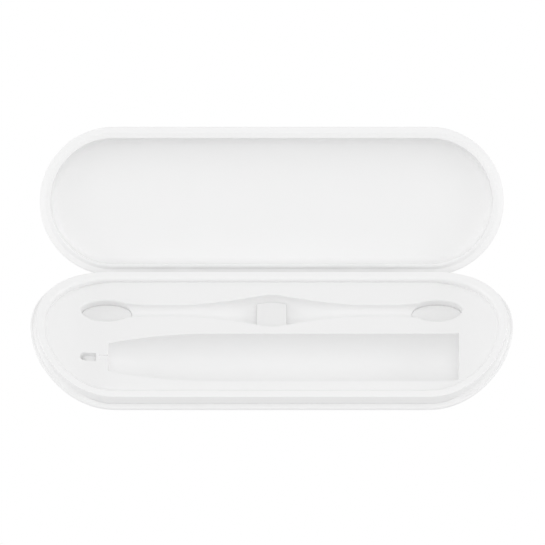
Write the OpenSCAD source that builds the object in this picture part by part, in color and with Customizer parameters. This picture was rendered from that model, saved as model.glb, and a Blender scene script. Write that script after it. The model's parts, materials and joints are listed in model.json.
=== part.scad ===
// Hinged, pill-shaped case for an electric toothbrush handle and two brush heads.
// Origin: middle of the base, on the ground. X runs along the case, Y towards the hinge, Z up.
// The lid is modelled shut, then swung open about the hinge axis: the rest pose is the open case.

/* [Outline] */
// Half the length of the straight sides, from the middle to the centre of a round end
half_straight = 81.1; // [80.8:0.1:82]
// Radius of the lid's round ends
lid_radius = 38.1; // [37.9:0.1:38.3]
// Radius of the raised collar that the lid closes on
collar_radius = 39.1; // [39:0.1:39.2]
// Radius of the lower shell's lip, the widest part of the case
lip_radius = 41.9; // [41.5:0.1:42.5]

/* [Heights] */
// Height of the collar's top above the ground, along the straight sides
collar_top = 22; // [21.8:0.1:22.4]
// How far the collar stands above the lower shell's ledge
collar_height = 6.2; // [6:0.1:6.4]
// Height of the shut case
case_height = 40; // [39.6:0.1:42]
// How far the tray surface lies below the collar's top
tray_drop = 1.5; // [1.4:0.1:1.6]

/* [Seam] */
// Half the length over which the seam is level
seam_flat = 76.5; // [74:0.5:78]
// Radius of the seam's upward sweep at the ends
seam_radius = 85; // [84:1:95]
// Half the length over which the tray surface is level
tray_flat = 88; // [87:0.5:90]
// Radius of the tray surface's upward sweep at the ends
tray_sweep = 42; // [42:1:48]

/* [Recesses] */
// Radius of the half-round trough for the handle
trough_radius = 14.6; // [14:0.1:14.7]
// Distance from the case's long axis to the trough's axis, towards the front
trough_offset = 13.3; // [13.2:0.1:13.5]
// Distance from the case's long axis to the brush-head recess, towards the back
brush_offset = 15.9; // [15.8:0.1:16]
// Depth of the oval brush-head pockets, down to their pads
pocket_depth = 3; // [2.5:0.1:3.5]

/* [Hinge] */
// How far the lid swings from open to shut
open_angle = 144.5; // [140:0.5:145]
// Distance from the middle to each of the two hinges
hinge_station = 45; // [42:0.5:46]
// Radius of the hinge pins
pin_radius = 1.25; // [1:0.05:1.4]

/* [Hidden] */
$fn = 96;

// Cutting solids reach this far, well past every part
reach = 70;

// Fits
overlap = 1;
running_gap = 0.05;
press_gap = 0.02;
seat_gap = 0.1;
part_gap = 0.2;
seam_gap = 0.3;

// Lower shell
foot_height = 0.8;
shell_wall = 2;
lip_thickness = 2.4;
ledge_z = collar_top - collar_height;
hull_radius = 26.7;
hull_flat = lip_radius - seam_gap - hull_radius;
hull_centre_z = foot_height + hull_radius;
shelf_inner = 36.7;

// Collar
collar_land = 3.2;
collar_inner = collar_radius - 4.8;
collar_step = 1.1;

// Tray
tray_z = collar_top - tray_drop;
tray_wall = 1.6;
tray_radius = collar_inner - seat_gap;

// Handle trough: straight to taper_start, then narrowing along an arc to its left end
trough_left = -83.3;
trough_right = 95.5;
taper_start = -30;
taper_arc = 240;
taper_steps = 6;

// Slot and groove for the drive shaft, left of the trough
slot_width = 4.9;
slot_depth = 2.2;
slot_toe_depth = 4.5;
slot_toe = 2;
slot_left = -97.7;
slot_right = -89.7;
groove_width = 3;
groove_depth = 0.8;
groove_left = -87.9;

// Brush-head recess
channel_middle = 9.8;
channel_waist = 3.3;
channel_taper = 44;
channel_crown = 4;
channel_power = 1.7;
channel_flare_start = 60;
channel_flare = 14;
channel_end = 76;
channel_steps = 12;
pocket_station = 84.4;
pocket_half_length = 13;
pocket_half_width = 6.4;
pocket_end_radius = 4.2;
pad_thickness = 1.6;
rest_half_length = 7.6;
rest_drop = 4.6;

// Lid
lid_wall = 2;
lid_land = 3.1;
lid_edge_radius = 7.2;
lid_rim_z = collar_top + seam_gap;
seal_height = 2.4;
seal_outer = lid_radius - lid_land - running_gap;
tongue_drop = 0.9;
tongue_outer = collar_inner - seam_gap;
dish_radius = 32.2;
dish_blend = 3.5;
dish_ceiling = case_height - 4;
liner_wall = 1.5;

// Hinge
hinge_y = collar_radius + seam_gap;
hinge_z = collar_top - 6;
knuckle_radius = 2.6;
knuckle_half = 5;
cheek_inner = 5.3;
bracket_half = 9.3;
bracket_back = 33.5;
bracket_wall = 1.9;
bracket_low = 10.2;
bracket_high = tray_z - tray_wall - part_gap;
bracket_floor = 2;
bracket_nose = 36;
tab_half = 4;
tab_reach = 26.5;
notch_gap = 0.3;
notch_back = bracket_back - 1.3;
notch_top = hinge_z + 3.5;
arm_inner = collar_radius + part_gap;
arm_outer = hinge_y + knuckle_radius;
foot_half = 7;
foot_low = 23.2;
foot_high = 30;
arm_screw_half = 4;
arm_screw_z = 27;
arm_screw_length = 5;

// Screws: shaft radius, head radius, head height
tray_screw = [1.5, 2.5, 1.6];
small_screw = [1, 1.8, 1.2];
screw_clear = 0.15;
head_sink = 0.5;
post_radius = 3.2;
small_post_radius = 2.8;
lug_radius = 2.3;
lug_height = 2.8;
post_top = 12;
tray_screw_tip = 17;
rim_screw_tip = ledge_z + 2.4;
bracket_screw_y = 29.5;
bracket_screw_tip = 5;
tray_screw_places = [[-104, 0], [-52, 7.2], [52, 7.2], [104, 0]];
rim_screw_places = [[-66, 27.5], [66, 27.5], [-52, -32], [52, -32]];

// Magnets: half length, thickness, height
magnet = [5, 2, 3];
magnet_station = 30;
base_magnet_y = -35.7;
lid_magnet_y = -34.1;
lid_magnet_z = 24.7;
magnet_block_half = 6.5;

// Foot pad
foot_half_straight = 62;
foot_radius = 11;
foot_thickness = 1.2;

// Distance of a plan point from the pill's spine
function spine_distance(place) = norm([max(abs(place.x) - half_straight, 0), place.y]);

// Height of the hull's outside at a distance from the spine
function hull_z(distance) =
    hull_centre_z - sqrt(pow(hull_radius, 2) - pow(max(distance - hull_flat, 0), 2));

// Underside of a screw head that sits fully inside the hull's surface, clear of the foot pad
function head_z(place, head_radius) = hull_z(spine_distance(place) + head_radius) + head_sink;

// Trough radius along the case
function trough_at(x) =
    trough_radius - taper_arc + sqrt(pow(taper_arc, 2) - pow(min(x - taper_start, 0), 2));

// Half-width of the brush-head channel along the case: rounded crown, slim waist, flare at the pockets
function channel_taper_at(x) = (norm([x, channel_crown]) - channel_crown) / channel_taper;
function channel_at(x) =
    channel_waist
    + (channel_middle - channel_waist) * pow(max(1 - channel_taper_at(x), 0), channel_power)
    + pow(max(abs(x) - channel_flare_start, 0) / channel_flare, 2);

// Places a child at both ends of the case
module both_sides(x) {
    for (side = [-1, 1])
        translate([side * x, 0, 0])
            children();
}

// Flat pill outline
module pill_outline(radius, half = half_straight) {
    square([2 * half, 2 * radius], center = true);
    both_sides(half)
        circle(radius);
}

// Pill-shaped slab between two heights
module pill_slab(radius, low, high) {
    translate([0, 0, low])
        linear_extrude(high - low)
            pill_outline(radius);
}

// Pill-shaped solid from a profile: x is the distance from the spine, y is the height
module pill() {
    for (turn = [0, 180])
        rotate([0, 0, turn]) {
            translate([half_straight, 0, 0])
                rotate_extrude(angle = 180, start = -90)
                    children();
            rotate([90, 0, 90])
                translate([0, 0, -half_straight])
                    linear_extrude(2 * half_straight)
                        children();
        }
}

// Everything above a surface that is level in the middle and sweeps up at both ends
module above(height, flat = seam_flat, radius = seam_radius) {
    translate([0, reach, height + radius])
        rotate([90, 0, 0])
            linear_extrude(2 * reach) {
                translate([-flat, -radius])
                    square([2 * flat, 2 * radius]);
                both_sides(flat)
                    circle(radius);
            }
}

// Everything above the tray surface, or above a surface at a depth below it
module above_tray(depth = 0) {
    above(tray_z - depth, tray_flat, tray_sweep + depth);
}

// Solid of revolution about an axis that runs along the case at the tray surface
module lathe_along(y) {
    translate([0, y, tray_z])
        rotate([0, 90, 0])
            rotate_extrude()
                children();
}

// Bar between two opposite corners
module bar(low, high) {
    translate(low)
        cube(high - low);
}

// Upright cylinder between two heights
module column(place, radius, low, high) {
    translate([place.x, place.y, low])
        cylinder(r = radius, h = high - low);
}

// Cylinder along X about the hinge axis
module hinge_cylinder(radius, half_length) {
    translate([0, hinge_y, hinge_z])
        rotate([0, 90, 0])
            cylinder(r = radius, h = 2 * half_length, center = true);
}

// Lid parts are drawn shut and shown open
module opened() {
    translate([0, hinge_y, hinge_z])
        rotate([-open_angle, 0, 0])
            translate([0, -hinge_y, -hinge_z])
                children();
}

// ---- Lower shell ----

module hull_profile(inset = 0) {
    arc = hull_radius - inset;
    translate([0, foot_height + inset])
        square([hull_flat, case_height]);
    translate([hull_flat, hull_centre_z])
        square([arc, case_height - hull_radius]);
    intersection() {
        translate([hull_flat, hull_centre_z])
            circle(arc);
        translate([hull_flat, foot_height])
            square(hull_radius);
    }
}

module lip_band() {
    intersection() {
        pill_slab(lip_radius, 0, case_height);
        above(ledge_z - lip_thickness);
    }
}

module shell_posts() {
    intersection() {
        union() {
            for (place = tray_screw_places)
                column(place, post_radius, 0, post_top);
            for (place = rim_screw_places)
                column(place, small_post_radius, 0, ledge_z);
            both_sides(hinge_station)
                column([0, bracket_screw_y], post_radius, 0, bracket_low);
        }
        pill()
            hull_profile(shell_wall / 2);
    }
}

module bracket_notch(low, high) {
    both_sides(hinge_station)
        bar([-bracket_half - notch_gap, notch_back, low], [bracket_half + notch_gap, reach, high]);
}

module screw_ways() {
    for (place = tray_screw_places) {
        column(place, tray_screw[0] + screw_clear, 0, post_top + overlap);
        column(place, tray_screw[1] + screw_clear, -overlap, head_z(place, tray_screw[1]) + tray_screw[2]);
    }
    for (place = rim_screw_places) {
        column(place, small_screw[0] + screw_clear, 0, ledge_z + overlap);
        column(place, small_screw[1] + screw_clear, -overlap, head_z(place, small_screw[1]) + small_screw[2]);
    }
    both_sides(hinge_station)
        column([0, bracket_screw_y], small_screw[0] + running_gap, bracket_screw_tip, case_height);
}

module lower_shell() {
    color("white")
        difference() {
            union() {
                difference() {
                    union() {
                        pill()
                            hull_profile();
                        lip_band();
                    }
                    intersection() {
                        pill()
                            hull_profile(shell_wall);
                        pill_slab(shelf_inner, 0, case_height);
                    }
                }
                shell_posts();
            }
            above(ledge_z);
            bracket_notch(bracket_low - part_gap, case_height);
            screw_ways();
            foot_slab(running_gap);
        }
}

// ---- Collar ----

module rim_lug(place) {
    toward = place.y < 0 ? -1 : 1;
    column(place, lug_radius, ledge_z, ledge_z + lug_height);
    bar(
        [place.x - lug_radius, min(place.y, toward * (collar_inner + overlap)), ledge_z],
        [place.x + lug_radius, max(place.y, toward * (collar_inner + overlap)), ledge_z + lug_height]
    );
}

module rim_frame() {
    color("white")
        difference() {
            union() {
                difference() {
                    intersection() {
                        pill_slab(collar_radius, 0, case_height);
                        above(ledge_z);
                    }
                    above(collar_top);
                    pill_slab(collar_inner, 0, case_height + overlap);
                    intersection() {
                        pill_slab(collar_radius - collar_land, 0, case_height + overlap);
                        above(collar_top - collar_step);
                    }
                }
                for (place = rim_screw_places)
                    rim_lug(place);
            }
            bracket_notch(0, notch_top);
            both_sides(magnet_station)
                magnet_bar(base_magnet_y, ledge_z - overlap, magnet[2] + overlap, running_gap);
            for (place = rim_screw_places)
                column(place, small_screw[0] + running_gap, 0, rim_screw_tip + seat_gap);
        }
}

// ---- Tray ----

module trough_profile(grow = 0) {
    stations = [
        for (step = [0 : taper_steps])
            trough_left + (taper_start - trough_left) * step / taper_steps
    ];
    polygon([
        [0, trough_left - grow],
        [trough_at(trough_left) + grow, trough_left - grow],
        for (x = stations) [trough_at(x) + grow, x],
        [trough_radius + grow, trough_right + grow],
        [0, trough_right + grow]
    ]);
}

module channel_profile(grow = 0) {
    half = [
        for (step = [0 : channel_steps])
            channel_end * step / channel_steps
    ];
    polygon([
        [0, -channel_end],
        for (step = [channel_steps : -1 : 1]) [channel_at(half[step]) + grow, -half[step]],
        for (x = half) [channel_at(x) + grow, x],
        [0, channel_end]
    ]);
}

module pocket_outline(grow = 0) {
    end_centre = pocket_half_length - pocket_end_radius;
    rise = pocket_half_width - pocket_end_radius;
    side_offset = (pow(end_centre, 2) - pow(rise, 2)) / (2 * rise);
    side_radius = side_offset + pocket_half_width + grow;
    join = end_centre * side_radius / (side_radius - pocket_end_radius - grow);
    intersection() {
        translate([0, side_offset])
            circle(side_radius);
        translate([0, -side_offset])
            circle(side_radius);
        square([2 * join, 4 * pocket_half_width], center = true);
    }
    both_sides(end_centre)
        circle(pocket_end_radius + grow);
}

module pocket(grow, floor_z) {
    both_sides(pocket_station)
        translate([0, brush_offset, floor_z])
            linear_extrude(case_height - floor_z)
                pocket_outline(grow);
}

// Round-ended well down to a depth below the tray surface
module slot_well(depth, grow) {
    low = tray_z - depth - grow;
    half = slot_width / 2 + grow;
    centre = slot_left + slot_width / 2;
    column([centre, -trough_offset], half, low, case_height);
    bar([centre, -trough_offset - half, low], [slot_right + grow, half - trough_offset, case_height]);
}

// Shallow slot with a deeper toe at its round end
module shaft_slot(grow = 0) {
    slot_well(slot_depth, grow);
    intersection() {
        slot_well(slot_toe_depth, grow);
        bar([slot_left - grow - overlap, -reach, 0], [slot_left + slot_toe + grow, reach, case_height]);
    }
}

module shaft_groove(grow = 0) {
    half = groove_width / 2 + grow;
    bar(
        [groove_left - grow, -trough_offset - half, tray_z - groove_depth - grow],
        [trough_left + overlap, half - trough_offset, case_height]
    );
}

module tray_recesses() {
    lathe_along(-trough_offset)
        trough_profile();
    lathe_along(brush_offset)
        channel_profile();
    pocket(0, tray_z - pocket_depth - pad_thickness);
    shaft_slot();
    shaft_groove();
}

module tray_wells() {
    lathe_along(-trough_offset)
        trough_profile(tray_wall);
    lathe_along(brush_offset)
        channel_profile(tray_wall);
    pocket(tray_wall, tray_z - pocket_depth - pad_thickness - tray_wall);
    shaft_slot(tray_wall);
    shaft_groove(tray_wall);
}

module tray() {
    color("whitesmoke")
        difference() {
            union() {
                intersection() {
                    pill_slab(tray_radius, 0, case_height);
                    above_tray(tray_wall);
                }
                tray_wells();
                for (place = tray_screw_places)
                    column(place, post_radius, post_top, case_height);
            }
            above_tray();
            tray_recesses();
            for (place = tray_screw_places)
                column(place, tray_screw[0] + running_gap, 0, tray_screw_tip + seat_gap);
        }
}

module centre_rest() {
    color("whitesmoke")
        intersection() {
            lathe_along(brush_offset)
                channel_profile(-running_gap);
            bar([-rest_half_length, 0, 0], [rest_half_length, reach, tray_z - rest_drop]);
        }
}

module head_pad(side) {
    color("gainsboro")
        translate([side * pocket_station, brush_offset, tray_z - pocket_depth - pad_thickness])
            linear_extrude(pad_thickness)
                pocket_outline(-seat_gap);
}

// ---- Hinges ----

// Plate centred on the station, between two corners in Y and Z
module hinge_plate(half_width, low, high) {
    bar([-half_width, low.x, low.y], [half_width, high.x, high.y]);
}

// Bracket cheek: a web from the bracket's back wall to a round eye on the hinge axis
module bracket_cheek() {
    half = (bracket_half - cheek_inner) / 2;
    hinge_cylinder(knuckle_radius, half);
    hinge_plate(half, [bracket_back, hinge_z - knuckle_radius], [hinge_y, hinge_z + knuckle_radius]);
}

module hinge_bracket(side) {
    floor_top = bracket_low + bracket_floor;
    wall_front = bracket_back + bracket_wall;
    color("white")
        translate([side * hinge_station, 0, 0])
            difference() {
                union() {
                    hinge_plate(bracket_half, [bracket_back, bracket_low], [wall_front, bracket_high]);
                    hinge_plate(bracket_half, [bracket_back, bracket_low], [bracket_nose, floor_top]);
                    hinge_plate(tab_half, [tab_reach, bracket_low], [bracket_nose, floor_top]);
                    both_sides((bracket_half + cheek_inner) / 2)
                        bracket_cheek();
                }
                hinge_cylinder(pin_radius + press_gap, bracket_half + overlap);
                column([0, bracket_screw_y], small_screw[0] + screw_clear, 0, case_height);
            }
}

module hinge_pin(side) {
    color("silver")
        translate([side * hinge_station, 0, 0])
            hinge_cylinder(pin_radius, bracket_half - part_gap);
}

module hinge_arm(side) {
    color("white")
        opened()
            translate([side * hinge_station, 0, 0])
                difference() {
                    union() {
                        hinge_cylinder(knuckle_radius, knuckle_half);
                        hinge_plate(knuckle_half, [arm_inner, hinge_z], [arm_outer, foot_high]);
                        hinge_plate(foot_half, [lid_radius, foot_low], [arm_outer, foot_high]);
                    }
                    hinge_cylinder(pin_radius + running_gap, knuckle_half + overlap);
                    arm_screw_shafts(running_gap, seat_gap);
                }
}

module arm_screw_shafts(grow, longer) {
    both_sides(arm_screw_half)
        translate([0, lid_radius - lid_wall, arm_screw_z])
            rotate([-90, 0, 0])
                cylinder(r = small_screw[0] + grow, h = arm_screw_length + longer);
}

// ---- Lid ----

module lid_profile(inset = 0) {
    edge = lid_edge_radius - inset;
    square([lid_radius - inset, case_height - lid_edge_radius]);
    square([lid_radius - lid_edge_radius, case_height - inset]);
    intersection() {
        translate([lid_radius - lid_edge_radius, case_height - lid_edge_radius])
            circle(edge);
        square([lid_radius, case_height]);
    }
}

module dish_profile(grow = 0) {
    square([dish_radius + grow, dish_ceiling - dish_blend]);
    square([dish_radius - dish_blend, dish_ceiling + grow]);
    intersection() {
        translate([dish_radius - dish_blend, dish_ceiling - dish_blend])
            circle(dish_blend + grow);
        square([dish_radius + grow, case_height]);
    }
}

module lid_shell() {
    color("white")
        opened()
            difference() {
                intersection() {
                    difference() {
                        pill()
                            lid_profile();
                        difference() {
                            pill()
                                lid_profile(lid_wall);
                            difference() {
                                pill_slab(reach, 0, case_height);
                                above(lid_rim_z + seal_height);
                            }
                            both_sides(magnet_station)
                                bar(
                                    [-magnet_block_half, -lid_radius, 0],
                                    [magnet_block_half, lid_magnet_y + part_gap, lid_magnet_z + magnet[2]]
                                );
                        }
                        pill_slab(lid_radius - lid_land, 0, lid_rim_z + seal_height);
                    }
                    above(lid_rim_z);
                }
                intersection() {
                    pill_slab(lid_radius - lid_land, 0, case_height - lid_wall);
                    difference() {
                        above(lid_rim_z - overlap);
                        above(lid_rim_z + seal_height);
                    }
                }
                both_sides(magnet_station)
                    magnet_bar(lid_magnet_y, lid_magnet_z, magnet[2] + overlap, running_gap);
                both_sides(hinge_station)
                    arm_screw_shafts(screw_clear, 0);
            }
}

module lid_liner() {
    color("white")
        opened()
            intersection() {
                difference() {
                    pill()
                        dish_profile(liner_wall);
                    pill()
                        dish_profile();
                }
                above(lid_rim_z + seal_height + running_gap);
            }
}

// Soft ring inside the lid's rim, with a tongue that drops inside the collar
module lid_seal() {
    color("snow")
        opened()
            difference() {
                union() {
                    intersection() {
                        pill_slab(seal_outer, 0, case_height);
                        above(lid_rim_z);
                    }
                    intersection() {
                        pill_slab(tongue_outer, 0, case_height);
                        above(lid_rim_z - tongue_drop);
                    }
                }
                above(lid_rim_z + seal_height);
                pill_slab(dish_radius, 0, case_height + overlap);
            }
}

// ---- Fasteners, magnets and foot pad ----

// Screw standing on its head, with its tip up
module screw(size, place, head_low, tip) {
    column(place, size[1], head_low, head_low + size[2]);
    column(place, size[0], head_low, tip);
}

module tray_screws() {
    color("silver")
        for (place = tray_screw_places)
            screw(tray_screw, place, head_z(place, tray_screw[1]), tray_screw_tip);
}

module rim_screws() {
    color("silver")
        for (place = rim_screw_places)
            screw(small_screw, place, head_z(place, small_screw[1]), rim_screw_tip);
}

module bracket_screws() {
    head_low = bracket_low + bracket_floor;
    color("silver")
        both_sides(hinge_station) {
            column([0, bracket_screw_y], small_screw[1], head_low, head_low + small_screw[2]);
            column([0, bracket_screw_y], small_screw[0], bracket_screw_tip + part_gap, head_low + small_screw[2]);
        }
}

module arm_screws() {
    color("silver")
        opened()
            both_sides(hinge_station) {
                arm_screw_shafts(0, 0);
                both_sides(arm_screw_half)
                    translate([0, lid_radius - lid_wall - small_screw[2], arm_screw_z])
                        rotate([-90, 0, 0])
                            cylinder(r = small_screw[1], h = small_screw[2]);
            }
}

module magnet_bar(back_y, low, height, grow = 0) {
    bar([-magnet[0] - grow, back_y - magnet[1] - grow, low], [magnet[0] + grow, back_y + grow, low + height]);
}

module base_magnets() {
    color("dimgray")
        both_sides(magnet_station)
            magnet_bar(base_magnet_y, ledge_z, magnet[2]);
}

module lid_magnets() {
    color("dimgray")
        opened()
            both_sides(magnet_station)
                magnet_bar(lid_magnet_y, lid_magnet_z, magnet[2]);
}

module foot_slab(grow = 0) {
    linear_extrude(foot_thickness)
        pill_outline(foot_radius + grow, foot_half_straight);
}

module foot_pad() {
    color("lightgray")
        foot_slab();
}

lower_shell();
rim_frame();
tray();
centre_rest();
head_pad(-1);  // head_pad_left
head_pad(1);  // head_pad_right
hinge_bracket(-1);  // hinge_bracket_left
hinge_bracket(1);  // hinge_bracket_right
hinge_pin(-1);  // hinge_pin_left
hinge_pin(1);  // hinge_pin_right
base_magnets();
foot_pad();
tray_screws();
rim_screws();
bracket_screws();
lid_shell();
lid_liner();
lid_seal();
hinge_arm(-1);  // hinge_arm_left
hinge_arm(1);  // hinge_arm_right
lid_magnets();
arm_screws();
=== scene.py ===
"""Looks for a hinged, pill-shaped toothbrush case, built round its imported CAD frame.

Lengths are in millimetres until a mesh is made. X runs along the case, Y towards the hinge, Z up.
Most pieces are sections carried round the pill's spine: a section is a list of points, each its
distance from the spine and its height. Lid pieces are built shut and then swung open.
"""

import json
import math

import bmesh
import bpy
import numpy as np
from mathutils import Matrix, Vector
from mathutils.geometry import delaunay_2d_cdt


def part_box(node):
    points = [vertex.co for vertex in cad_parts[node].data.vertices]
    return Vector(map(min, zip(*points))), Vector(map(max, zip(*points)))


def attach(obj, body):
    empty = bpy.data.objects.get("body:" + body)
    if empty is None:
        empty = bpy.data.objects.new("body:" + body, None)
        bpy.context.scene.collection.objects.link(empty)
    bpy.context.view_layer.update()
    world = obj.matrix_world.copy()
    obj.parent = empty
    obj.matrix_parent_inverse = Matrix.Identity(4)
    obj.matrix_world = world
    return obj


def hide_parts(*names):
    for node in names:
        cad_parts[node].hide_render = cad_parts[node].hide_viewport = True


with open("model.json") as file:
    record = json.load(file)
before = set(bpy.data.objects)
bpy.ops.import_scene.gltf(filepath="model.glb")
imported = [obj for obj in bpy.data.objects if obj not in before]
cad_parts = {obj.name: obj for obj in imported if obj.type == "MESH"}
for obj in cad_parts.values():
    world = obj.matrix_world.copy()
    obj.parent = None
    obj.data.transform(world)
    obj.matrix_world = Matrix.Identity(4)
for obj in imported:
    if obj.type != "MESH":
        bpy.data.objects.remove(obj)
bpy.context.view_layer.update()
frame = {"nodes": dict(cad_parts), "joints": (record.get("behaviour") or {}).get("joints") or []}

MM = 0.001
WELD = 1e-4
SHARP = 35


def box_mm(node):
    """Lowest and highest corner of a CAD node, in millimetres."""
    low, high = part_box(node)
    return low / MM, high / MM


# ---- Seam: level in the middle, sweeping up at both ends ----

SEAM_FLAT = 76.5
SEAM_RADIUS = 85
TRAY_FLAT = 88
TRAY_SWEEP = 42


def sweep_up(x, flat, radius):
    """Rise at x of a surface that is level up to flat and then follows an arc."""
    beyond = np.maximum(np.abs(x) - flat, 0)
    return radius - np.sqrt(radius**2 - beyond**2)


def seam_rise(x):
    return float(sweep_up(x, SEAM_FLAT, SEAM_RADIUS))


# ---- Sizes read from the frame ----

SHELL_HIGH = box_mm("lower_shell")[1]
COLLAR_HIGH = box_mm("rim_frame")[1]
LIP_RADIUS = SHELL_HIGH.y
HALF_STRAIGHT = SHELL_HIGH.x - SHELL_HIGH.y
COLLAR_RADIUS = COLLAR_HIGH.x - HALF_STRAIGHT
COLLAR_TOP = COLLAR_HIGH.z - seam_rise(COLLAR_HIGH.x)
LEDGE_Z = box_mm("base_magnets")[0].z
LID_RADIUS = box_mm("lid_shell")[1].x - HALF_STRAIGHT
JOINT = frame["joints"][0]
HINGE = Vector(JOINT["pos_m"]) / MM
OPEN_ANGLE = math.radians(max(JOINT["range_deg"]))
OPENED = (
    Matrix.Translation(HINGE)
    @ Matrix.Rotation(-OPEN_ANGLE, 4, "X")
    @ Matrix.Translation(-HINGE)
)

# ---- Sizes of the pieces ----

# Lower shell: a flat bottom, a round hull, a beaded lip, and a skirt that rises at the ends
WALL = 2
FOOT_HEIGHT = 0.8
LIP_PROUD = 0.3
HULL_RADIUS = 26.7
HULL_FLAT = LIP_RADIUS - LIP_PROUD - HULL_RADIUS
HULL_CENTRE_Z = FOOT_HEIGHT + HULL_RADIUS
LIP_BEAD = 1.2
LIP_COVE = 0.8
SHELF_MIDDLE = 38.2
SHELF_INNER = 36.7
SKIRT_RADIUS = COLLAR_RADIUS + 0.1
SKIRT_RISE = 3.4
SKIRT_LEAST = 0.02
SKIRT_LAP = 0.3
SKIRT_START = 84
SKIRT_END = 116

# Collar
COLLAR_WIDTH = 4.8
COLLAR_INNER = COLLAR_RADIUS - COLLAR_WIDTH
COLLAR_ROUND = 1.6

# Lid: outer shell, dished liner, and a seal whose tongue drops inside the collar
LID_TOP = 40
LID_EDGE = 7.2
LID_LAND = 3.1
LAND_EDGE = 0.05
LID_GAP = 0.3
LID_RIM_Z = COLLAR_TOP + LID_GAP
LID_CORNER = 0.5
SEAL_HEIGHT = 2.4
SEAL_LAP = 0.05
TONGUE_DROP = 0.9
TONGUE_INSET = 0.7
DISH_RADIUS = 32.2
DISH_BLEND = 3.5
DISH_CEILING = 36
LINER_WALL = 1.5
LINER_GAP = 0.05

# Tray, with its trough, slot, groove, channel and pockets
TRAY_DROP = 1.5
TRAY_Z = COLLAR_TOP - TRAY_DROP
TRAY_RADIUS = COLLAR_INNER + 0.02
TRAY_GUTTER = 3.2
TRAY_GUTTER_DEPTH = 1.0
TRAY_WALL = 1.6
TROUGH_RADIUS = 14.6
TROUGH_Y = -13.3
TROUGH_LEFT = -83.3
TROUGH_RIGHT = 95.5
TAPER_START = -30
TAPER_ARC = 240
SLOT_WIDTH = 4.9
SLOT_DEPTH = 2.2
SLOT_TOE_DEPTH = 4.5
SLOT_RAMP = 4
SLOT_LEFT = -97.7
SLOT_RIGHT = -89.7
GROOVE_WIDTH = 3
GROOVE_DEPTH = 0.8
GROOVE_LEFT = -87.9
BRUSH_Y = 15.9
CHANNEL_END = 76
CHANNEL_WAIST = 3.3
CROWN_HALF = 6.5
CROWN_ROUND = 4
CROWN_LENGTH = 44
CROWN_POWER = 1.7
FLARE_START = 60
FLARE_LENGTH = 14
POCKET_X = 84.4
POCKET_LENGTH = 13
POCKET_WIDTH = 6.4
POCKET_DEPTH = 4.6
POCKET_FLOOR_Z = TRAY_Z - POCKET_DEPTH

# Head pads and centre rest
PAD_EDGE_Z = 16.4
PAD_CROWN = 0.9
PAD_GAP = 0.22
REST_HALF = 7.6
REST_DROP = 4.6
REST_GAP = 0.1
REST_EDGE = 0.35

# Hinge notches
HINGE_X = 45
NOTCH_HALF = 9.6
NOTCH_FRONT = 32.2
NOTCH_REACH = 30
NOTCH_TOP = HINGE.z + 3.5
NOTCH_LOW = 10.0
NOTCH_CORNER = 0.5

# Screws: shaft radius, head radius, head height
TRAY_SCREW = (1.5, 2.5, 1.6)
RIM_SCREW = (1, 1.8, 1.2)
TRAY_SCREWS = ((-104, 0), (-52, 7.2), (52, 7.2), (104, 0))
RIM_SCREWS = ((-66, 27.5), (66, 27.5), (-52, -32), (52, -32))
HEAD_SINK = 0.5
HEAD_GAP = 0.15


def from_spine(x, y):
    """Distance in plan from the pill's spine."""
    return np.hypot(np.maximum(np.abs(x) - HALF_STRAIGHT, 0), y)


# ---- Meshes ----


def finish_mesh(name, bm, body, material, place=None, sharp=SHARP):
    """Object from a bmesh in millimetres, riding on a body, with smooth shading below an angle."""
    bmesh.ops.recalc_face_normals(bm, faces=bm.faces)
    if place is not None:
        bmesh.ops.transform(bm, matrix=place, verts=bm.verts)
    bmesh.ops.scale(bm, vec=(MM, MM, MM), verts=bm.verts)
    mesh = bpy.data.meshes.new(name)
    bm.to_mesh(mesh)
    bm.free()
    mesh.shade_smooth()
    mesh.set_sharp_from_angle(angle=math.radians(sharp))
    mesh.materials.append(material)
    piece = bpy.data.objects.new(name, mesh)
    bpy.context.scene.collection.objects.link(piece)
    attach(piece, body)
    return piece


def weight_normals(piece):
    """Large faces keep their own normal, so that fillets don't shade the flats beside them."""
    modifier = piece.modifiers.new("Face weights", "WEIGHTED_NORMAL")
    modifier.keep_sharp = True
    modifier.weight = 50


def arc(centre, radius, start, end, steps):
    """Points along an arc, between two angles in degrees."""
    angles = np.radians(np.linspace(start, end, steps + 1))
    return [(centre[0] + radius * math.cos(a), centre[1] + radius * math.sin(a)) for a in angles]


def rounded(corners, steps=4):
    """Outline through (x, y, fillet) corners, each turned by an arc of its own fillet radius."""
    outline = []
    for k, (x, y, fillet) in enumerate(corners):
        here = Vector((x, y))
        if not fillet:
            outline.append((x, y))
            continue
        before = (Vector(corners[k - 1][:2]) - here).normalized()
        after = (Vector(corners[(k + 1) % len(corners)][:2]) - here).normalized()
        half = before.angle(after) / 2
        centre = here + (before + after).normalized() * (fillet / math.sin(half))
        start = here + before * (fillet / math.tan(half)) - centre
        end = here + after * (fillet / math.tan(half)) - centre
        for step in range(steps + 1):
            share = step / steps
            turn = start.slerp(end, share) * fillet
            outline.append((centre.x + turn.x, centre.y + turn.y))
    return outline


def pill_stations(straight_steps=40, arc_steps=64):
    """Spine x and outward direction at each place round the pill, front side first."""
    places = []
    for side in (1, -1):
        for k in range(straight_steps):
            x = side * HALF_STRAIGHT * (2 * k / straight_steps - 1)
            places.append((x, 0.0, -float(side)))
        for k in range(arc_steps):
            angle = math.pi * (k / arc_steps - 0.5 * side)
            places.append((side * HALF_STRAIGHT, math.cos(angle), math.sin(angle)))
    return places


PILL = pill_stations()


def bridge(bm, rings, closed=True):
    """Faces between each ring of vertices and the next."""
    count = len(rings[0])
    for here, there in zip(rings, rings[1:]):
        for k in range(count if closed else count - 1):
            after = (k + 1) % count
            bm.faces.new((here[k], there[k], there[after], here[after]))


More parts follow.
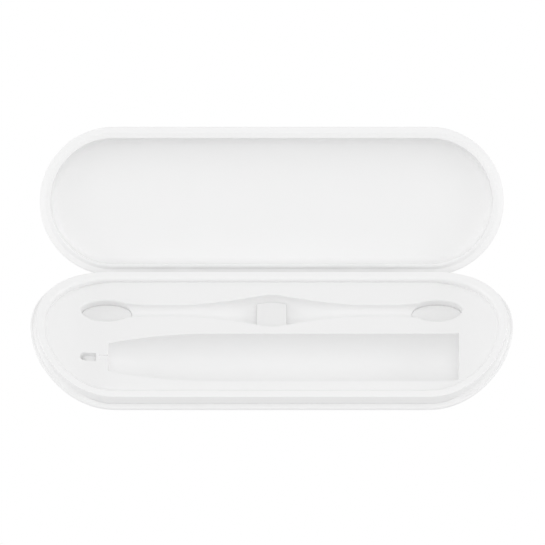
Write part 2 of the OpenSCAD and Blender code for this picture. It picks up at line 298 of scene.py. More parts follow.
def sweep(section, closed=True):
    """Bmesh of a section carried round the pill. An open section starts and ends on the spine."""
    bm = bmesh.new()
    rings = [
        [bm.verts.new((x + r * dx, r * dy, z)) for r, z in section(x, dx)]
        for x, dx, dy in PILL
    ]
    bridge(bm, rings + rings[:1], closed)
    bmesh.ops.remove_doubles(bm, verts=bm.verts, dist=WELD)
    return bm


def on_seam(profile):
    """Section whose every point rises with the seam."""
    return lambda x, dx: [(r, z + seam_rise(x + r * dx)) for r, z in profile]


def rounded_block(low, high, fillet, steps=3):
    """Bmesh of a box between two corners with rounded edges."""
    bm = bmesh.new()
    bmesh.ops.create_cube(bm, size=1)
    centre = [(a + b) / 2 for a, b in zip(low, high)]
    for vert in bm.verts:
        vert.co = Vector([c + v * (b - a) for c, v, a, b in zip(centre, vert.co, low, high)])
    bmesh.ops.bevel(
        bm, geom=bm.edges[:], offset=fillet, segments=steps, profile=0.5, affect="EDGES"
    )
    return bm


def lathe(bm, profile, place, steps=32):
    """Adds an (r, z) profile turned about an upright axis, which it starts and ends on."""
    rings = []
    for k in range(steps):
        angle = 2 * math.pi * k / steps
        dx, dy = math.cos(angle), math.sin(angle)
        rings.append([bm.verts.new((place[0] + r * dx, place[1] + r * dy, z)) for r, z in profile])
    bridge(bm, rings + rings[:1], closed=False)
    bmesh.ops.remove_doubles(bm, verts=bm.verts, dist=WELD)


def cut(piece, cutters):
    """Takes the cutter bmeshes, in millimetres, out of a piece."""
    for bm in cutters:
        bmesh.ops.recalc_face_normals(bm, faces=bm.faces)
        bmesh.ops.scale(bm, vec=(MM, MM, MM), verts=bm.verts)
        mesh = bpy.data.meshes.new("cutter")
        bm.to_mesh(mesh)
        bm.free()
        cutter = bpy.data.objects.new("cutter", mesh)
        bpy.context.scene.collection.objects.link(cutter)
        modifier = piece.modifiers.new("Cut", "BOOLEAN")
        modifier.operation = "DIFFERENCE"
        modifier.solver = "EXACT"
        modifier.object = cutter
        bpy.context.view_layer.update()
        result = bpy.data.meshes.new_from_object(
            piece.evaluated_get(bpy.context.evaluated_depsgraph_get())
        )
        piece.modifiers.remove(modifier)
        bpy.data.objects.remove(cutter)
        piece.data = result
    piece.data.shade_smooth()
    piece.data.set_sharp_from_angle(angle=math.radians(SHARP))


def hinge_notches():
    """The two notches at the back that hold the hinge brackets."""
    return [
        rounded_block(
            (side * HINGE_X - NOTCH_HALF, NOTCH_FRONT, NOTCH_LOW),
            (side * HINGE_X + NOTCH_HALF, NOTCH_FRONT + NOTCH_REACH, NOTCH_TOP),
            NOTCH_CORNER,
        )
        for side in (-1, 1)
    ]


# ---- Materials ----


def new_material(name):
    """Material with its shader and the object's own coordinates, in metres."""
    material = bpy.data.materials.new(name)
    material.use_nodes = True
    nodes = material.node_tree.nodes
    return material, nodes["Principled BSDF"], nodes.new("ShaderNodeTexCoord").outputs["Object"]


def noise(material, coordinates, size, detail=2.0, roughness=0.5):
    """Noise whose features are about size millimetres across."""
    node = material.node_tree.nodes.new("ShaderNodeTexNoise")
    node.inputs["Scale"].default_value = 1 / (size * MM)
    node.inputs["Detail"].default_value = detail
    node.inputs["Roughness"].default_value = roughness
    material.node_tree.links.new(coordinates, node.inputs["Vector"])
    return node.outputs["Fac"]


def between(material, value, low, high):
    """Value carried from the range 0.3 to 0.7, where noise mostly lies, to a new range."""
    node = material.node_tree.nodes.new("ShaderNodeMapRange")
    node.inputs["From Min"].default_value = 0.3
    node.inputs["From Max"].default_value = 0.7
    node.inputs["To Min"].default_value = low
    node.inputs["To Max"].default_value = high
    material.node_tree.links.new(value, node.inputs["Value"])
    return node.outputs["Result"]


def bump(material, height, depth, normal=None):
    """Normal raised by a height, depth millimetres from lowest to highest."""
    node = material.node_tree.nodes.new("ShaderNodeBump")
    node.inputs["Distance"].default_value = depth * MM
    material.node_tree.links.new(height, node.inputs["Height"])
    if normal is not None:
        material.node_tree.links.new(normal, node.inputs["Normal"])
    return node.outputs["Normal"]


def grey(material, tone, value):
    """Neutral colour of a tone, scaled by a value."""
    node = material.node_tree.nodes.new("ShaderNodeVectorMath")
    node.operation = "SCALE"
    node.inputs[0].default_value = (tone, tone, tone)
    material.node_tree.links.new(value, node.inputs["Scale"])
    return node.outputs["Vector"]


def plastic(name, tone, roughness, grain_size, grain_depth):
    """Moulded plastic: fine grain, faint moulding flow and a slightly uneven sheen."""
    material, shader, coordinates = new_material(name)
    link = material.node_tree.links.new
    flow = noise(material, coordinates, 35, detail=1.0)
    grain = noise(material, coordinates, grain_size, detail=3.0, roughness=0.6)
    speckle = noise(material, coordinates, 3 * grain_size)
    tint = between(material, flow, 0.997, 1.003)
    link(grey(material, tone, tint), shader.inputs["Base Color"])
    link(between(material, speckle, roughness - 0.04, roughness + 0.04), shader.inputs["Roughness"])
    waved = bump(material, flow, 0.02)
    link(bump(material, grain, grain_depth, waved), shader.inputs["Normal"])
    shader.inputs["IOR"].default_value = 1.46
    return material


def rubber(name, tone):
    """Soft rubber: no shine, a powdery grain."""
    material, shader, coordinates = new_material(name)
    link = material.node_tree.links.new
    dust = noise(material, coordinates, 1.5, detail=4.0)
    grain = noise(material, coordinates, 0.25, detail=2.0)
    tint = between(material, dust, 0.99, 1.01)
    link(grey(material, tone, tint), shader.inputs["Base Color"])
    link(between(material, dust, 0.7, 0.85), shader.inputs["Roughness"])
    link(bump(material, grain, 0.005), shader.inputs["Normal"])
    shader.inputs["IOR"].default_value = 1.5
    return material


def metal(name, tone, roughness, stretch):
    """Brushed or plated metal: fine lines across the stretch direction."""
    material, shader, coordinates = new_material(name)
    link = material.node_tree.links.new
    mapping = material.node_tree.nodes.new("ShaderNodeMapping")
    mapping.inputs["Scale"].default_value = stretch
    link(coordinates, mapping.inputs["Vector"])
    lines = noise(material, mapping.outputs["Vector"], 0.12, detail=3.0)
    tint = between(material, lines, 0.92, 1.04)
    link(grey(material, tone, tint), shader.inputs["Base Color"])
    link(between(material, lines, roughness - 0.05, roughness + 0.08), shader.inputs["Roughness"])
    link(bump(material, lines, 0.004), shader.inputs["Normal"])
    shader.inputs["Metallic"].default_value = 1.0
    return material


SHELL_PLASTIC = plastic("shell_plastic", 0.90, 0.32, 0.35, 0.004)
COLLAR_PLASTIC = plastic("collar_plastic", 0.90, 0.40, 0.35, 0.003)
TRAY_PLASTIC = plastic("tray_plastic", 0.88, 0.55, 0.45, 0.012)
# The rest's plastic is the tray's plastic with its tone taken a shade darker: painted shade for the
# rest sitting low in the channel.
REST_PLASTIC_SHADED = plastic("rest_plastic_shaded", 0.845, 0.55, 0.45, 0.012)
LID_PLASTIC = plastic("lid_plastic", 0.90, 0.42, 0.35, 0.003)
LINER_PLASTIC = plastic("liner_plastic", 0.90, 0.48, 0.40, 0.004)
HINGE_PLASTIC = plastic("hinge_plastic", 0.88, 0.35, 0.50, 0.004)
SOFT_WHITE = rubber("soft_white", 0.89)
PAD_WHITE = rubber("pad_white", 0.84)
FOOT_RUBBER = rubber("foot_rubber", 0.62)
STEEL = metal("steel", 0.62, 0.28, (0.05, 1.0, 1.0))
MAGNET = metal("magnet", 0.45, 0.22, (1.0, 1.0, 0.2))


# ---- Lower shell ----


def hull_at(z, inset=0.0):
    """Hull radius, from the spine, at a height."""
    drop = max(HULL_CENTRE_Z - z, 0)
    return HULL_FLAT + math.sqrt((HULL_RADIUS - inset) ** 2 - drop**2)


def hull_arc(top_z, inset, steps):
    """Points up the hull from its lowest line to a height."""
    radius = HULL_RADIUS - inset
    top = math.acos((HULL_CENTRE_Z - top_z) / radius)
    angles = [top * (k + 1) / steps for k in range(steps)]
    return [
        (HULL_FLAT + radius * math.sin(a), HULL_CENTRE_Z - radius * math.cos(a)) for a in angles
    ]


def end_share(x):
    """Next to nothing along the straight sides, rising smoothly to one at the case's ends."""
    share = min(max((abs(x) - SKIRT_START) / (SKIRT_END - SKIRT_START), 0), 1)
    return SKIRT_LEAST + (1 - SKIRT_LEAST) * share * share * (3 - 2 * share)


def cove(start, lean, end, steps):
    """Concave blend from the hull, which leans at an angle, to the level underside of the lip."""
    reach = math.dist(start, end)
    first = (start[0] + 0.35 * reach * math.cos(lean), start[1] + 0.35 * reach * math.sin(lean))
    last = (end[0] - 0.6 * (end[0] - start[0]), end[1])
    points = []
    for k in range(1, steps):
        t = k / steps
        weights = ((1 - t) ** 3, 3 * t * (1 - t) ** 2, 3 * t * t * (1 - t), t**3)
        corners = (start, first, last, end)
        points.append(tuple(sum(w * c[axis] for w, c in zip(weights, corners)) for axis in (0, 1)))
    return points


def shell_section(x, dx):
    """Bottom, hull, lip, skirt, shelf under the collar, and back down the inside."""

    def ledge(r):
        return LEDGE_Z + seam_rise(x + r * dx)

    bead_r = LIP_RADIUS - LIP_BEAD
    under = ledge(bead_r) - 2 * LIP_BEAD
    outside = [(r, FOOT_HEIGHT) for r in (0, 5, 10, HULL_FLAT)]
    outside += hull_arc(under - LIP_COVE, 0, 16)
    lean = math.acos((HULL_CENTRE_Z - under + LIP_COVE) / HULL_RADIUS)
    outside += cove(outside[-1], lean, (max(bead_r, hull_at(under)), under), 6)
    for r, z in arc((bead_r, -LIP_BEAD), LIP_BEAD, -90, 90, 12):
        height = z + ledge(r)
        below_widest = z < -LIP_BEAD
        outside.append((max(r, hull_at(height)) if below_widest else r, height))
    at_end = end_share(x + bead_r * dx)
    skirt_r = SKIRT_RADIUS - SKIRT_LAP * at_end
    skirt = [
        (bead_r + (skirt_r - bead_r) * share, SKIRT_RISE * at_end * share**1.6)
        for share in (0.25, 0.5, 0.7, 0.85, 1.0)
    ]
    shelf = [(r, z + ledge(r)) for r, z in skirt]
    shelf += [(r, ledge(r)) for r in (skirt_r - 0.02, SHELF_MIDDLE, SHELF_INNER + 0.3)]
    inside = hull_arc(ledge(SHELF_INNER) - 0.3, WALL, 14)[::-1]
    inside = [(min(r, SHELF_INNER), z) for r, z in inside]
    inside += [(r, FOOT_HEIGHT + WALL) for r in (HULL_FLAT, 10, 5, 0)]
    return outside + shelf + inside


def head_low(place, head_radius):
    """Lowest face of a screw head that sits just inside the hull."""
    beyond = max(from_spine(*place) + head_radius - HULL_FLAT, 0)
    return HULL_CENTRE_Z - math.sqrt(HULL_RADIUS**2 - beyond**2) + HEAD_SINK


def counterbores(places, size):
    """Round cutters that leave room for upright screw heads."""
    _, head_radius, head_height = size
    radius = head_radius + HEAD_GAP
    bores = []
    for place in places:
        top = head_low(place, head_radius) + head_height
        bore = bmesh.new()
        lathe(bore, [(0, -1), (radius, -1), (radius, top), (0, top)], place)
        bores.append(bore)
    return bores


def lower_shell():
    shell = finish_mesh(
        "shell", sweep(shell_section, closed=False), "base", SHELL_PLASTIC
    )
    cut(shell, hinge_notches())
    cut(shell, counterbores(TRAY_SCREWS, TRAY_SCREW) + counterbores(RIM_SCREWS, RIM_SCREW))
    weight_normals(shell)
    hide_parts("lower_shell")


# ---- Collar ----


def collar():
    """Raised ring with a wide round on its inner top edge."""
    profile = rounded(
        [
            (COLLAR_RADIUS, LEDGE_Z, 0.15),
            (COLLAR_RADIUS, COLLAR_TOP, 0.4),
            (COLLAR_INNER, COLLAR_TOP, COLLAR_ROUND),
            (COLLAR_INNER, LEDGE_Z, 0.15),
        ]
    )
    ring = finish_mesh("collar", sweep(on_seam(profile)), "base", COLLAR_PLASTIC)
    cut(ring, hinge_notches())
    weight_normals(ring)
    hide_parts("rim_frame")


# ---- Lid ----


def edge_curve(flat, bend, centre_z, end_at, steps):
    """Points down a rounded edge and the wall below it, evenly spaced, to the height end_at(r)."""
    quarter = bend * math.pi / 2
    end_r = flat + bend
    for _ in range(4):
        end_z = end_at(end_r)
        if end_z < centre_z:
            length = quarter + centre_z - end_z
        else:
            length = bend * math.acos(min((end_z - centre_z) / bend, 1))
        end_r = flat + bend * math.sin(min(length / bend, math.pi / 2))
    points = []
    for k in range(1, steps + 1):
        along = length * k / steps
        angle = min(along / bend, math.pi / 2)
        below = max(along - quarter, 0)
        points.append((flat + bend * math.sin(angle), centre_z + bend * math.cos(angle) - below))
    return points


def lid_section(x, dx):
    """Flat top, rounded edge, land that meets the collar, and back up the inside."""
    flat = LID_RADIUS - LID_EDGE
    centre_z = LID_TOP - LID_EDGE

    def rim(r):
        return LID_RIM_Z + seam_rise(x + r * dx)

    outside = [(r, LID_TOP) for r in (0, 10, 20, flat)]
    outside += edge_curve(flat, LID_EDGE, centre_z, lambda r: rim(r) + LID_CORNER, 20)
    outer = outside[-1][0]
    inner = LID_RADIUS - LID_LAND
    turn = arc((outer - LID_CORNER, LID_CORNER), LID_CORNER, 0, -90, 4)[1:]
    turn += arc((inner + LAND_EDGE, LAND_EDGE), LAND_EDGE, -90, -180, 3)
    land = [(r, rim(r) + z) for r, z in turn]
    inside = edge_curve(flat, LID_EDGE - WALL, centre_z, lambda r: rim(r) + SEAL_HEIGHT, 14)[::-1]
    step = (min(inner, inside[0][0] + 0.1), inside[0][1])
    ceiling = [(r, LID_TOP - WALL) for r in (flat, 20, 10, 0)]
    return outside + land + [step] + inside + ceiling


def lid_shell():
    lid = finish_mesh(
        "lid", sweep(lid_section, closed=False), "lid", LID_PLASTIC, OPENED
    )
    weight_normals(lid)
    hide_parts("lid_shell")


def liner_section(x, dx):
    """Dish with a blended edge, and its back."""
    flat = DISH_RADIUS - DISH_BLEND
    centre_z = DISH_CEILING - DISH_BLEND

    def end(r):
        return LID_RIM_Z + SEAL_HEIGHT + LINER_GAP + seam_rise(x + r * dx)

    dish = [(r, DISH_CEILING) for r in (0, 9, 18, flat)]
    dish += edge_curve(flat, DISH_BLEND, centre_z, end, 20)
    back = edge_curve(flat, DISH_BLEND + LINER_WALL, centre_z, end, 14)[::-1]
    top = [(r, DISH_CEILING + LINER_WALL) for r in (flat, 18, 9, 0)]
    return dish + back + top


def lid_liner():
    liner = finish_mesh(
        "liner", sweep(liner_section, closed=False), "lid", LINER_PLASTIC, OPENED
    )
    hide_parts("lid_liner")


def lid_seal():
    """Soft ring from the lid's land to the dish, with a tongue that drops inside the collar."""
    outer = LID_RADIUS - LID_LAND + SEAL_LAP
    profile = rounded(
        [
            (outer, LID_RIM_Z + SEAL_HEIGHT, 0),
            (outer, LID_RIM_Z, 0),
            (COLLAR_INNER - TONGUE_INSET, LID_RIM_Z - TONGUE_DROP, 0.5),
            (DISH_RADIUS, LID_RIM_Z - TONGUE_DROP, 0.25),
            (DISH_RADIUS, LID_RIM_Z + SEAL_HEIGHT, 0),
        ]
    )
    seal = finish_mesh("seal", sweep(on_seam(profile)), "lid", SOFT_WHITE, OPENED)
    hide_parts("lid_seal")


# ---- Tray ----


def trough_at(x):
    """Half-width, and depth, of the handle trough."""
    back = np.minimum(np.asarray(x, float) - TAPER_START, 0)
    return TROUGH_RADIUS - TAPER_ARC + np.sqrt(TAPER_ARC**2 - back**2)


def channel_at(x):
    """Half-width, and depth, of the brush-head channel: round crown, slim waist, flared ends."""
    x = np.abs(np.asarray(x, float))
    taper = np.clip((np.hypot(x, CROWN_ROUND) - CROWN_ROUND) / CROWN_LENGTH, 0, 1)
    flare = np.maximum(x - FLARE_START, 0) / FLARE_LENGTH
    return CHANNEL_WAIST + CROWN_HALF * (1 - taper) ** CROWN_POWER + flare**2


def channel_outline():
    xs = np.linspace(-CHANNEL_END, CHANNEL_END, 109)
    back = [(x, BRUSH_Y + float(channel_at(x)), 0) for x in xs]
    front = [(x, 2 * BRUSH_Y - y, 0) for x, y, _ in reversed(back)]
    return rounded(back + front)


def trough_outline(corner=0.4):
    xs = np.linspace(TROUGH_LEFT, TROUGH_RIGHT, 120)
    half = [float(w) for w in trough_at(xs)]
    fillets = [corner] + [0] * (len(xs) - 2) + [corner]
    back = [(x, TROUGH_Y + w, c) for x, w, c in zip(xs, half, fillets)]
    front = [(x, TROUGH_Y - w, c) for x, w, c in zip(xs[::-1], half[::-1], fillets[::-1])]
    return rounded(back + front)


def pocket_outline(side):
    angles = np.linspace(0, 2 * math.pi, 96, endpoint=False)
    return [
        (side * POCKET_X + POCKET_LENGTH * math.cos(a), BRUSH_Y + POCKET_WIDTH * math.sin(a))
        for a in angles
    ]


def slot_outline():
    half = SLOT_WIDTH / 2
    round_end = arc((SLOT_LEFT + half, TROUGH_Y), half, 90, 270, 14)
    square_end = rounded(
        [
            (SLOT_LEFT + half, TROUGH_Y - half, 0),
            (SLOT_RIGHT, TROUGH_Y - half, 0.3),
            (SLOT_RIGHT, TROUGH_Y + half, 0.3),
            (SLOT_LEFT + half, TROUGH_Y + half, 0),
        ]
    )
    return round_end + square_end[1:-1]


def groove_outline():
    half = GROOVE_WIDTH / 2
    return rounded(
        [
            (GROOVE_LEFT, TROUGH_Y + half, 0.25),
            (GROOVE_LEFT, TROUGH_Y - half, 0.25),
            (TROUGH_LEFT + 1, TROUGH_Y - half, 0.25),
            (TROUGH_LEFT + 1, TROUGH_Y + half, 0.25),
        ]
    )


def subdivided(outline, spacing):
    """Closed anticlockwise outline, its points no further apart than the spacing."""
    points = []
    for here, there in zip(outline, outline[1:] + outline[:1]):
        steps = max(1, math.ceil(math.dist(here, there) / spacing))
        points += [np.array(here) + (np.array(there) - here) * k / steps for k in range(steps)]
    points = np.array(points)
    x, y = points[:, 0], points[:, 1]
    area = np.sum(x * np.roll(y, -1) - np.roll(x, -1) * y)
    return points if area > 0 else points[::-1]


def offset(points, distance):
    """Anticlockwise outline moved outwards."""
    edge = np.roll(points, -1, axis=0) - points
    normal = np.stack([edge[:, 1], -edge[:, 0]], axis=1)
    normal /= np.linalg.norm(normal, axis=1)[:, None]
    mitre = normal + np.roll(normal, 1, axis=0)
    mitre /= (1 + np.sum(normal * np.roll(normal, 1, axis=0), axis=1))[:, None]
    return points + distance * mitre


def outside_by(outline, x, y):
    """Distance of points from an outline, positive outside."""
    ends = np.roll(outline, -1, axis=0)
    best = np.full(len(x), np.inf)
    inside = np.zeros(len(x), bool)
    for (ax, ay), (bx, by) in zip(outline, ends):
        ex, ey = bx - ax, by - ay
        share = np.clip(((x - ax) * ex + (y - ay) * ey) / (ex * ex + ey * ey), 0, 1)
        best = np.minimum(best, np.hypot(x - ax - share * ex, y - ay - share * ey))
        crosses = (ay > y) != (by > y)
        if by != ay:
            inside ^= crosses & (x < ax + (y - ay) * ex / ey)
    return np.where(inside, -best, best)


class Recess:
    """A recess in the tray: its outline, the fillet round its edge, and its floor.

    The wall leans in by the draft from the fillet down to the floor.
    """

    draft = 0.12

    def __init__(self, outline, fillet, floor, spacing=1.5):
        self.outline = subdivided(outline, spacing)
        self.fillet = fillet
        self.floor = floor

    def rings(self):
        """Outlines for the mesh to follow, from the fillet's edge to the foot of the wall."""
        turns = [math.radians(a) for a in (0, 25, 45, 65, 80)]
        outer = [offset(self.outline, self.fillet * (1 - math.sin(turn))) for turn in turns]
        return outer + [self.outline, offset(self.outline, -self.draft)]

    def depth(self, x, y, top):
        """Depth below the tray surface."""
        away = outside_by(self.outline, x, y)
        floor = np.maximum(top - self.floor(x, y), self.fillet)
        edge = np.clip(self.fillet - away, 0, self.fillet)
        rim = self.fillet - np.sqrt(self.fillet**2 - edge**2)
        wall = self.fillet + (floor - self.fillet) * np.clip(-away / self.draft, 0, 1)
        return np.where(away >= 0, rim, wall)


def round_floor(centre_y, radius_at):
    """Floor of a recess whose cross-section is a half circle at the tray surface."""
    return lambda x, y: TRAY_Z - np.sqrt(
        np.maximum(radius_at(x) ** 2 - (y - centre_y) ** 2, 0)
    )


def flat_floor(z):
    return lambda x, y: np.full(len(x), z)


def slot_floor(x, y):
    """Level floor that ramps down to a deeper toe at the slot's round end."""
    ramp = np.clip(1 - (x - SLOT_LEFT) / SLOT_RAMP, 0, 1)
    return TRAY_Z - SLOT_DEPTH - (SLOT_TOE_DEPTH - SLOT_DEPTH) * ramp**1.5


def tray_recesses():
    return [
        Recess(trough_outline(), 0.3, round_floor(TROUGH_Y, trough_at)),
        Recess(channel_outline(), 0.5, round_floor(BRUSH_Y, channel_at)),
        Recess(pocket_outline(-1), 1.0, flat_floor(POCKET_FLOOR_Z)),
        Recess(pocket_outline(1), 1.0, flat_floor(POCKET_FLOOR_Z)),
        Recess(slot_outline(), 0.3, slot_floor, 0.8),
        Recess(groove_outline(), 0.25, flat_floor(TRAY_Z - GROOVE_DEPTH), 0.8),
    ]


def bowl_lines(centre_y, radius_at, left, right, spacing):
    """Lines along a half-round recess, evenly spaced in angle across it."""
    xs = np.arange(left, right, spacing)
    return [
        np.stack([xs, centre_y + radius_at(xs) * math.cos(math.radians(a))], axis=1)
        for a in range(12, 180, 6)
    ]


def pill_outline(radius, steps=56, spacing=2.0):
    ends = arc((HALF_STRAIGHT, 0), radius, -90, 90, steps)
    ends += arc((-HALF_STRAIGHT, 0), radius, 90, 270, steps)
    return subdivided(ends, spacing)


def tray_plan(recesses):
    """Plan points and triangles of the tray, whose edges follow every recess outline."""
    points, edges = [], []

    def add_line(line, closed):
        first = len(points)
        points.extend(Vector(p) for p in line)
        count = len(line)
        links = range(count if closed else count - 1)
        edges.extend((first + k, first + (k + 1) % count) for k in links)

    for inset in (0, 0.6, 1.2, 1.8, TRAY_GUTTER):
        add_line(pill_outline(TRAY_RADIUS - inset), True)
    for recess in recesses:
        for ring in recess.rings():
            add_line(ring, True)
    bowls = bowl_lines(TROUGH_Y, trough_at, TROUGH_LEFT + 0.6, TROUGH_RIGHT - 0.3, 1.6)
    bowls += bowl_lines(BRUSH_Y, channel_at, -CHANNEL_END + 1, CHANNEL_END - 0.5, 1.4)
    for x in np.arange(SLOT_LEFT + 0.8, SLOT_LEFT + SLOT_RAMP + 0.5, 0.5):
        half = min(SLOT_WIDTH / 2, math.sqrt(SLOT_WIDTH * (x - SLOT_LEFT))) - 0.5
        bowls.append([(x, TROUGH_Y - half), (x, TROUGH_Y + half)])
    for line in bowls:
        add_line(line, False)
    grid_x, grid_y = np.meshgrid(np.arange(-114, 115, 2.4), np.arange(-33, 34, 2.4))
    grid = np.stack([grid_x.ravel(), grid_y.ravel()], axis=1)
    clear = from_spine(grid[:, 0], grid[:, 1]) < TRAY_RADIUS - TRAY_GUTTER - 0.6
    for recess in recesses:
        clear &= outside_by(recess.outline, grid[:, 0], grid[:, 1]) > recess.fillet + 0.6
    points.extend(Vector(p) for p in grid[clear])
    found = delaunay_2d_cdt(points, edges, [], 0, 1e-5)
    return np.array([tuple(v) for v in found[0]]), found[2]


def tray_heights(plan, recesses):
    """Height of the tray's upper face at each plan point."""
    x, y = plan[:, 0], plan[:, 1]
    top = TRAY_Z + sweep_up(x, TRAY_FLAT, TRAY_SWEEP)
    depth = np.zeros(len(x))
    for recess in recesses:
        depth = np.maximum(depth, recess.depth(x, y, top))
    from_edge = TRAY_RADIUS - from_spine(x, y)
    gutter = TRAY_GUTTER_DEPTH * np.clip(1 - from_edge / TRAY_GUTTER, 0, 1) ** 2
    return top - np.maximum(depth, gutter)


def tray():
    """Sheet of one wall thickness that follows the tray's heights, closed round its rim."""
    recesses = tray_recesses()
    plan, triangles = tray_plan(recesses)
    heights = tray_heights(plan, recesses)
    bm = bmesh.new()
    upper = [bm.verts.new((x, y, z)) for (x, y), z in zip(plan, heights)]
    lower = [bm.verts.new((x, y, z - TRAY_WALL)) for (x, y), z in zip(plan, heights)]
    for a, b, c in triangles:
        bm.faces.new((upper[a], upper[b], upper[c]))
    bm.edges.ensure_lookup_table()
    index = {vert: k for k, vert in enumerate(upper)}
    rim = [
        [index[vert] for vert in edge.verts] for edge in bm.edges if len(edge.link_faces) == 1
    ]
    for a, b, c in triangles:
        bm.faces.new((lower[c], lower[b], lower[a]))
    for a, b in rim:
        bm.faces.new((upper[a], upper[b], lower[b], lower[a]))
    piece = finish_mesh("tray_insert", bm, "base", TRAY_PLASTIC, sharp=40)
    weight_normals(piece)
    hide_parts("tray")


def centre_rest():
    """Block between the two brush heads, shaped to the channel below and level on top."""
    bm = bmesh.new()
    rings = []
    for x in np.linspace(-REST_HALF, REST_HALF, 13):
        radius = float(channel_at(x)) - REST_GAP
        lean = math.degrees(math.asin(REST_DROP / radius))
        section = arc((BRUSH_Y, TRAY_Z), radius, -lean, lean - 180, 24)
        rings.append([bm.verts.new((x, y, z)) for y, z in section])
    bridge(bm, rings)
    bm.faces.new(rings[0])
    bm.faces.new(rings[-1][::-1])
    bmesh.ops.recalc_face_normals(bm, faces=bm.faces)
    crisp = [edge for edge in bm.edges if edge.calc_face_angle(0) > math.radians(50)]
    bmesh.ops.bevel(bm, geom=crisp, offset=REST_EDGE, segments=3, profile=0.5, affect="EDGES")
    # The rest's material carries painted shade: a darker copy of the tray's plastic.
    piece = finish_mesh("rest_block", bm, "base", REST_PLASTIC_SHADED)
    weight_normals(piece)
    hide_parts("centre_rest")


def head_pad(side, name):
    """Oval pad with a crowned top and soft edges."""
    shares = [0.2, 0.4, 0.55, 0.7, 0.8, 0.88, 0.94, 0.98, 1.0]
    outline = offset(np.array(pocket_outline(side)), -PAD_GAP)
    middle = np.array((side * POCKET_X, BRUSH_Y))
    bm = bmesh.new()
    rings = []
    for share in shares:
        plan = middle + (outline - middle) * share
        z = PAD_EDGE_Z + PAD_CROWN * (1 - share**3) ** 0.8
        rings.append([bm.verts.new((px, py, z)) for px, py in plan])
    rings.append([bm.verts.new((v.co.x, v.co.y, POCKET_FLOOR_Z + 0.05)) for v in rings[-1]])
    bridge(bm, rings)
    peak = bm.verts.new((middle[0], middle[1], PAD_EDGE_Z + PAD_CROWN))
    for k in range(len(rings[0])):
        bm.faces.new((rings[0][k], rings[0][(k + 1) % len(rings[0])], peak))
    bm.faces.new(rings[-1][::-1])
    piece = finish_mesh(name, bm, "base", PAD_WHITE)
    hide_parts(name.replace("cushion", "head_pad"))


# ---- Hinges, fasteners, magnets and foot ----


def carry_over(node, material, fillet=0.0):
    """CAD node kept as it is, with softened edges and a finished material."""
    piece = frame["nodes"][node]
    piece.data.materials.clear()
    piece.data.materials.append(material)
    if fillet:
        modifier = piece.modifiers.new("Soft edges", "BEVEL")
        modifier.width = fillet * MM
        modifier.segments = 2
        modifier.limit_method = "ANGLE"
        modifier.angle_limit = math.radians(40)
        modifier.harden_normals = True
        modifier.use_clamp_overlap = True


def screw_set(name, node, places, size):
    """Upright screws, heads down, with a cross recess in each head."""
    radius, head_radius, head_height = size
    tip = box_mm(node)[1].z
    bm = bmesh.new()
    recesses = []
    for x, y in places:
        low = head_low((x, y), head_radius)
        soft = 0.2 * head_radius
        edge = arc((head_radius - soft, low + soft), soft, -90, 0, 4)
        shoulder = low + head_height
        shaft = [(head_radius, shoulder), (radius, shoulder), (radius, tip - radius), (0, tip)]
        lathe(bm, [(0, low)] + edge + shaft, (x, y))
        long, short = 0.62 * head_radius, 0.14 * head_radius
        for across, along in ((long, short), (short, long)):
            low_corner = (x - across, y - along, low - 1)
            high_corner = (x + across, y + along, low + 0.6 * head_height)
            recesses.append(rounded_block(low_corner, high_corner, 0.3 * short))
    piece = finish_mesh(name, bm, "base", STEEL)
    cut(piece, recesses)
    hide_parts(node)


# ---- Floor, light and camera ----

FLOOR_DROP = 0.1


def studio_floor(glow):
    """White sheet that bounces less light than it shows, as an overexposed backdrop does."""
    bm = bmesh.new()
    bmesh.ops.create_grid(bm, x_segments=8, y_segments=8, size=3.0)
    mesh = bpy.data.meshes.new("floor")
    bm.to_mesh(mesh)
    bm.free()
    floor = bpy.data.objects.new("floor", mesh)
    floor.location.z = -FLOOR_DROP * MM
    bpy.context.scene.collection.objects.link(floor)
    material, shader, coordinates = new_material("floor_paper")
    nodes, link = material.node_tree.nodes, material.node_tree.links.new
    shader.inputs["Base Color"].default_value = (0.7, 0.7, 0.7, 1)
    shader.inputs["Roughness"].default_value = 0.9
    shader.inputs["Emission Color"].default_value = (1, 1, 1, 1)
    shader.inputs["Emission Strength"].default_value = glow
    link(bump(material, noise(material, coordinates, 1.2), 0.01), shader.inputs["Normal"])
    seen = nodes.new("ShaderNodeEmission")
    seen.inputs["Strength"].default_value = 1.0
    seen_as(nodes, link, shader, seen, nodes["Material Output"])
    mesh.materials.append(material)


def seen_as(nodes, link, lighting, seen, output):
    """Surface that lights the object with one shader, and is seen or mirrored as another."""
    rays = nodes.new("ShaderNodeLightPath")
    mix = nodes.new("ShaderNodeMixShader")
    either = nodes.new("ShaderNodeMath")
    either.operation = "MAXIMUM"
    link(rays.outputs["Is Camera Ray"], either.inputs[0])
    link(rays.outputs["Is Glossy Ray"], either.inputs[1])
    link(either.outputs["Value"], mix.inputs["Fac"])
    link(lighting.outputs[0], mix.inputs[1])
    link(seen.outputs[0], mix.inputs[2])
    link(mix.outputs["Shader"], output.inputs["Surface"])


def studio_world(ambient):
    """White backdrop that lights the object with less than it shows."""
    world = bpy.data.worlds.new("studio")
    bpy.context.scene.world = world
    world.use_nodes = True
    nodes, link = world.node_tree.nodes, world.node_tree.links.new
    light = nodes["Background"]
    light.inputs["Color"].default_value = (1, 1, 1, 1)
    light.inputs["Strength"].default_value = ambient
    backdrop = nodes.new("ShaderNodeBackground")
    backdrop.inputs["Color"].default_value = (1, 1, 1, 1)
    backdrop.inputs["Strength"].default_value = 1.0
    seen_as(nodes, link, light, backdrop, nodes["World Output"])


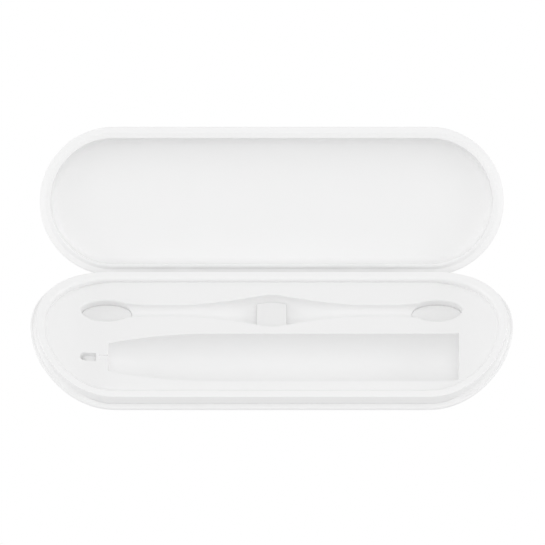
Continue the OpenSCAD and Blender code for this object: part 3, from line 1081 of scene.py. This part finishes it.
def soft_box(name, place, size, power, target=(0, 0.03, 0.02)):
    """Square lamp that faces a target."""
    lamp = bpy.data.lights.new(name, "AREA")
    lamp.shape = "RECTANGLE"
    lamp.size, lamp.size_y = size
    lamp.energy = power
    holder = bpy.data.objects.new(name, lamp)
    holder.location = place
    holder.rotation_euler = (Vector(target) - Vector(place)).to_track_quat("-Z", "Y").to_euler()
    holder.visible_camera = False
    bpy.context.scene.collection.objects.link(holder)


def camera(elevation=54.5, across=0.278, lens=1000.0):
    """Long lens in front of the case, looking down on it."""
    data = bpy.data.cameras.new("camera")
    data.lens = lens
    data.clip_start, data.clip_end = 1.0, 50.0
    eye = bpy.data.objects.new("camera", data)
    pitch = math.radians(elevation)
    back = Vector((0, -math.cos(pitch), math.sin(pitch)))
    up = Vector((0, math.sin(pitch), math.cos(pitch)))
    aim = Vector((0.4, 0, COLLAR_TOP)) * MM + up * 31.4 * MM
    eye.location = aim + back * (across * lens / data.sensor_width)
    eye.rotation_mode = "QUATERNION"
    eye.rotation_quaternion = (-back).to_track_quat("-Z", "Y")
    bpy.context.scene.collection.objects.link(eye)
    bpy.context.scene.camera = eye


lower_shell()
collar()
tray()
centre_rest()
head_pad(-1, "cushion_left")
head_pad(1, "cushion_right")
lid_shell()
lid_liner()
lid_seal()
for end in ("left", "right"):
    carry_over("hinge_bracket_" + end, HINGE_PLASTIC, 0.25)
    carry_over("hinge_arm_" + end, HINGE_PLASTIC, 0.4)
    carry_over("hinge_pin_" + end, STEEL, 0.2)
screw_set("tray_screw_set", "tray_screws", TRAY_SCREWS, TRAY_SCREW)
screw_set("rim_screw_set", "rim_screws", RIM_SCREWS, RIM_SCREW)
for screws in ("bracket_screws", "arm_screws"):
    carry_over(screws, STEEL, 0.15)
for magnets in ("base_magnets", "lid_magnets"):
    carry_over(magnets, MAGNET, 0.2)
carry_over("foot_pad", FOOT_RUBBER, 0.3)

studio_floor(0.125)
studio_world(0.69)
soft_box("overhead", (0, 0, 1.3), (1.6, 1.6), 2.9)
soft_box("front", (0, -0.7, 1.2), (1.6, 1.0), 2.6)
soft_box("left", (-1.4, 0, 0.4), (1.0, 0.6), 3.4)
soft_box("right", (1.4, 0, 0.4), (1.0, 0.6), 3.4)
camera()
bpy.context.scene.view_settings.view_transform = "Standard"
